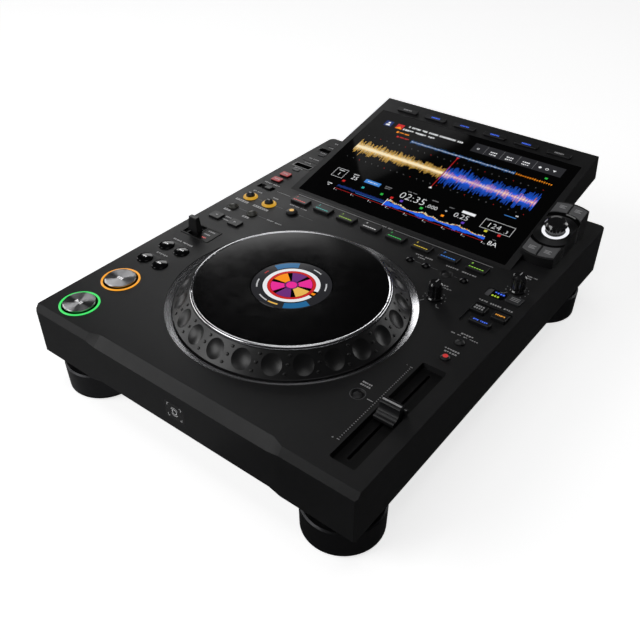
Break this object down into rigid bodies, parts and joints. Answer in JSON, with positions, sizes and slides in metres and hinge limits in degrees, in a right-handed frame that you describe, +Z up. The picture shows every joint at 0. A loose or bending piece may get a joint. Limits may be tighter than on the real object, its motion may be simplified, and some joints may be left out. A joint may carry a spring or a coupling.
{
  "type": "tabletop dj media player",
  "caption": "Tabletop DJ media player with a dimpled jog wheel, a tilted touch display, play and cue buttons, a tempo fader and round feet.",
  "frame": {"origin": "centre of the bounding box's bottom face, on the table under the feet", "axes": "+X to the right, +Y to the back, +Z up, seen from the player's front"},
  "size_m": [0.329, 0.4772, 0.1238],
  "materials": {
    "case_black": "fine matte texture",
    "steel_black": "matte",
    "foot_metal": "turned, dark",
    "pad_rubber": "matte",
    "glass_black": "glossy cover over a lit screen",
    "key_black": "satin",
    "key_gloss": "gloss",
    "key_grey": "satin",
    "key_olive": "satin",
    "key_red": "lit",
    "disc_steel": "spun",
    "chrome": "polished",
    "platter_gloss": "gloss with fine grooves",
    "grip_rubber": "satin",
    "cone_metal": "turned",
    "light": "lit ring",
    "socket_metal": "plated"
  },
  "bodies": {
    "case": {"top_case": "case_black", "base_pan": "steel_black", "rear_panel": "steel_black", "feet": "foot_metal", "foot_pads": "pad_rubber", "display_housing": "case_black", "display_glass": "glass_black", "selector_housing": "case_black", "jog_base": "cone_metal", "jog_display": "platter_gloss", "lever_bezel": "key_black", "media_ports": "key_black", "light_rings": "light", "rear_sockets": "socket_metal"},
    "jog_wheel": {"jog_platter": "platter_gloss", "jog_rim": "chrome", "jog_grip": "grip_rubber"},
    "play_button_body": {"play_button": "disc_steel"},
    "cue_button_body": {"cue_button": "disc_steel"},
    "fader_body": {"tempo_fader": "key_black"},
    "lever_body": {"direction_lever": "key_black"},
    "selector_shaft_body": {"selector_shaft": "steel_black"},
    "selector_knob_body": {"selector_knob": "key_gloss"},
    "jog_feel_knob_body": {"jog_feel_knob": "key_gloss"},
    "stop_speed_knob_body": {"stop_speed_knob": "key_gloss"},
    "switch_body": {"slide_switch": "key_black"},
    "power_rocker_body": {"power_switch": "key_black"},
    "selector_keys_body": {"selector_keys": "key_grey"},
    "display_keys_body": {"display_keys": "key_black"},
    "hot_cue_a_body": {"hot_cue_a": "key_black"},
    "hot_cue_b_body": {"hot_cue_b": "key_black"},
    "hot_cue_c_body": {"hot_cue_c": "key_black"},
    "hot_cue_d_body": {"hot_cue_d": "key_black"},
    "hot_cue_e_body": {"hot_cue_e": "key_black"},
    "hot_cue_f_body": {"hot_cue_f": "key_black"},
    "hot_cue_g_body": {"hot_cue_g": "key_black"},
    "hot_cue_h_body": {"hot_cue_h": "key_black"},
    "loop_in_key_body": {"loop_in_key": "key_black"},
    "loop_out_key_body": {"loop_out_key": "key_black"},
    "reloop_key_body": {"reloop_key": "key_black"},
    "beat_jump_back_key_body": {"beat_jump_back_key": "key_black"},
    "beat_jump_fwd_key_body": {"beat_jump_fwd_key": "key_black"},
    "search_back_key_body": {"search_back_key": "key_gloss"},
    "track_back_key_body": {"track_back_key": "key_gloss"},
    "jog_mode_key_body": {"jog_mode_key": "key_grey"},
    "beat_sync_key_body": {"beat_sync_key": "key_grey"},
    "master_key_body": {"master_key": "key_black"},
    "key_sync_key_body": {"key_sync_key": "key_black"},
    "page_keys_body": {"page_keys": "key_red"},
    "call_keys_body": {"call_keys": "key_gloss"},
    "stop_keys_body": {"stop_keys": "key_black"},
    "beat_loop_half_key_body": {"beat_loop_half_key": "key_olive"},
    "beat_loop_double_key_body": {"beat_loop_double_key": "key_olive"},
    "search_fwd_key_body": {"search_fwd_key": "key_gloss"},
    "track_fwd_key_body": {"track_fwd_key": "key_gloss"},
    "master_tempo_key_body": {"master_tempo_key": "key_black"},
    "tempo_range_key_body": {"tempo_range_key": "key_black"},
    "tempo_reset_key_body": {"tempo_reset_key": "key_black"},
    "memory_key_body": {"memory_key": "key_gloss"},
    "delete_key_body": {"delete_key": "key_black"}
  },
  "joints": [
    {"name": "jog_spin", "type": "hinge", "parent": "case", "child": "jog_wheel", "pos_m": [0, -0.10096, 0.0955], "axis": [0, 0, 1], "continuous": true},
    {"name": "play_button_press", "type": "slide", "parent": "case", "child": "play_button_body", "axis": [0, 0, -1], "range_m": [0, 0.001], "stiffness_N_per_m": 500, "springref_m": -0.0003},
    {"name": "cue_button_press", "type": "slide", "parent": "case", "child": "cue_button_body", "axis": [0, 0, -1], "range_m": [0, 0.001], "stiffness_N_per_m": 500, "springref_m": -0.0003},
    {"name": "tempo_slide", "type": "slide", "parent": "case", "child": "fader_body", "axis": [0, 1, 0], "range_m": [-0.048, 0.048]},
    {"name": "direction_shift", "type": "slide", "parent": "case", "child": "lever_body", "axis": [0, 1, 0], "range_m": [-0.0046, 0.0046]},
    {"name": "selector_press", "type": "slide", "parent": "case", "child": "selector_shaft_body", "axis": [0, 0.2164, -0.9763], "range_m": [0, 0.0008], "stiffness_N_per_m": 700, "springref_m": -0.0003},
    {"name": "selector_turn", "type": "hinge", "parent": "selector_shaft_body", "child": "selector_knob_body", "pos_m": [0.13775, 0.11084, 0.10104], "axis": [0, -0.2164, 0.9763], "continuous": true},
    {"name": "jog_feel_knob_turn", "type": "hinge", "parent": "case", "child": "jog_feel_knob_body", "pos_m": [0.0936, -0.02616, 0.0895], "axis": [0, 0, 1], "range_deg": [-140, 140]},
    {"name": "stop_speed_knob_turn", "type": "hinge", "parent": "case", "child": "stop_speed_knob_body", "pos_m": [0.1444, 0.02584, 0.0895], "axis": [0, 0, 1], "range_deg": [-140, 140]},
    {"name": "slide_switch_shift", "type": "slide", "parent": "case", "child": "switch_body", "axis": [1, 0, 0], "range_m": [-0.0072, 0.0012]},
    {"name": "power_rock", "type": "hinge", "parent": "case", "child": "power_rocker_body", "pos_m": [0.066, 0.17084, 0.059], "axis": [1, 0, 0], "range_deg": [0, 16]},
    {"name": "selector_keys_press", "type": "slide", "parent": "case", "child": "selector_keys_body", "axis": [0, 0.2164, -0.9763], "range_m": [0, 0.001], "stiffness_N_per_m": 500, "springref_m": -0.0003},
    {"name": "display_keys_press", "type": "slide", "parent": "case", "child": "display_keys_body", "axis": [0, 0.2164, -0.9763], "range_m": [0, 0.0006], "stiffness_N_per_m": 500, "springref_m": -0.0003},
    {"name": "hot_cue_a_press", "type": "slide", "parent": "case", "child": "hot_cue_a_body", "axis": [0, 0, -1], "range_m": [0, 0.001], "stiffness_N_per_m": 500, "springref_m": -0.0003},
    {"name": "hot_cue_b_press", "type": "slide", "parent": "case", "child": "hot_cue_b_body", "axis": [0, 0, -1], "range_m": [0, 0.001], "stiffness_N_per_m": 500, "springref_m": -0.0003},
    {"name": "hot_cue_c_press", "type": "slide", "parent": "case", "child": "hot_cue_c_body", "axis": [0, 0, -1], "range_m": [0, 0.001], "stiffness_N_per_m": 500, "springref_m": -0.0003},
    {"name": "hot_cue_d_press", "type": "slide", "parent": "case", "child": "hot_cue_d_body", "axis": [0, 0, -1], "range_m": [0, 0.001], "stiffness_N_per_m": 500, "springref_m": -0.0003},
    {"name": "hot_cue_e_press", "type": "slide", "parent": "case", "child": "hot_cue_e_body", "axis": [0, 0, -1], "range_m": [0, 0.001], "stiffness_N_per_m": 500, "springref_m": -0.0003},
    {"name": "hot_cue_f_press", "type": "slide", "parent": "case", "child": "hot_cue_f_body", "axis": [0, 0, -1], "range_m": [0, 0.001], "stiffness_N_per_m": 500, "springref_m": -0.0003},
    {"name": "hot_cue_g_press", "type": "slide", "parent": "case", "child": "hot_cue_g_body", "axis": [0, 0, -1], "range_m": [0, 0.001], "stiffness_N_per_m": 500, "springref_m": -0.0003},
    {"name": "hot_cue_h_press", "type": "slide", "parent": "case", "child": "hot_cue_h_body", "axis": [0, 0, -1], "range_m": [0, 0.001], "stiffness_N_per_m": 500, "springref_m": -0.0003},
    {"name": "loop_in_key_press", "type": "slide", "parent": "case", "child": "loop_in_key_body", "axis": [0, 0, -1], "range_m": [0, 0.001], "stiffness_N_per_m": 500, "springref_m": -0.0003},
    {"name": "loop_out_key_press", "type": "slide", "parent": "case", "child": "loop_out_key_body", "axis": [0, 0, -1], "range_m": [0, 0.001], "stiffness_N_per_m": 500, "springref_m": -0.0003},
    {"name": "reloop_key_press", "type": "slide", "parent": "case", "child": "reloop_key_body", "axis": [0, 0, -1], "range_m": [0, 0.001], "stiffness_N_per_m": 500, "springref_m": -0.0003},
    {"name": "beat_jump_back_key_press", "type": "slide", "parent": "case", "child": "beat_jump_back_key_body", "axis": [0, 0, -1], "range_m": [0, 0.001], "stiffness_N_per_m": 500, "springref_m": -0.0003},
    {"name": "beat_jump_fwd_key_press", "type": "slide", "parent": "case", "child": "beat_jump_fwd_key_body", "axis": [0, 0, -1], "range_m": [0, 0.001], "stiffness_N_per_m": 500, "springref_m": -0.0003},
    {"name": "search_back_key_press", "type": "slide", "parent": "case", "child": "search_back_key_body", "axis": [0, 0, -1], "range_m": [0, 0.001], "stiffness_N_per_m": 500, "springref_m": -0.0003},
    {"name": "track_back_key_press", "type": "slide", "parent": "case", "child": "track_back_key_body", "axis": [0, 0, -1], "range_m": [0, 0.001], "stiffness_N_per_m": 500, "springref_m": -0.0003},
    {"name": "jog_mode_key_press", "type": "slide", "parent": "case", "child": "jog_mode_key_body", "axis": [0, 0, -1], "range_m": [0, 0.001], "stiffness_N_per_m": 500, "springref_m": -0.0003},
    {"name": "beat_sync_key_press", "type": "slide", "parent": "case", "child": "beat_sync_key_body", "axis": [0, 0, -1], "range_m": [0, 0.001], "stiffness_N_per_m": 500, "springref_m": -0.0003},
    {"name": "master_key_press", "type": "slide", "parent": "case", "child": "master_key_body", "axis": [0, 0, -1], "range_m": [0, 0.001], "stiffness_N_per_m": 500, "springref_m": -0.0003},
    {"name": "key_sync_key_press", "type": "slide", "parent": "case", "child": "key_sync_key_body", "axis": [0, 0, -1], "range_m": [0, 0.001], "stiffness_N_per_m": 500, "springref_m": -0.0003},
    {"name": "page_keys_press", "type": "slide", "parent": "case", "child": "page_keys_body", "axis": [0, 0, -1], "range_m": [0, 0.001], "stiffness_N_per_m": 500, "springref_m": -0.0003},
    {"name": "call_keys_press", "type": "slide", "parent": "case", "child": "call_keys_body", "axis": [0, 0, -1], "range_m": [0, 0.001], "stiffness_N_per_m": 500, "springref_m": -0.0003},
    {"name": "stop_keys_press", "type": "slide", "parent": "case", "child": "stop_keys_body", "axis": [0, 0, -1], "range_m": [0, 0.001], "stiffness_N_per_m": 500, "springref_m": -0.0003},
    {"name": "beat_loop_half_key_press", "type": "slide", "parent": "case", "child": "beat_loop_half_key_body", "axis": [0, 0, -1], "range_m": [0, 0.001], "stiffness_N_per_m": 500, "springref_m": -0.0003},
    {"name": "beat_loop_double_key_press", "type": "slide", "parent": "case", "child": "beat_loop_double_key_body", "axis": [0, 0, -1], "range_m": [0, 0.001], "stiffness_N_per_m": 500, "springref_m": -0.0003},
    {"name": "search_fwd_key_press", "type": "slide", "parent": "case", "child": "search_fwd_key_body", "axis": [0, 0, -1], "range_m": [0, 0.001], "stiffness_N_per_m": 500, "springref_m": -0.0003},
    {"name": "track_fwd_key_press", "type": "slide", "parent": "case", "child": "track_fwd_key_body", "axis": [0, 0, -1], "range_m": [0, 0.001], "stiffness_N_per_m": 500, "springref_m": -0.0003},
    {"name": "master_tempo_key_press", "type": "slide", "parent": "case", "child": "master_tempo_key_body", "axis": [0, 0, -1], "range_m": [0, 0.001], "stiffness_N_per_m": 500, "springref_m": -0.0003},
    {"name": "tempo_range_key_press", "type": "slide", "parent": "case", "child": "tempo_range_key_body", "axis": [0, 0, -1], "range_m": [0, 0.001], "stiffness_N_per_m": 500, "springref_m": -0.0003},
    {"name": "tempo_reset_key_press", "type": "slide", "parent": "case", "child": "tempo_reset_key_body", "axis": [0, 0, -1], "range_m": [0, 0.001], "stiffness_N_per_m": 500, "springref_m": -0.0003},
    {"name": "memory_key_press", "type": "slide", "parent": "case", "child": "memory_key_body", "axis": [0, 0, -1], "range_m": [0, 0.001], "stiffness_N_per_m": 500, "springref_m": -0.0003},
    {"name": "delete_key_press", "type": "slide", "parent": "case", "child": "delete_key_body", "axis": [0, 0, -1], "range_m": [0, 0.001], "stiffness_N_per_m": 500, "springref_m": -0.0003}
  ]
}
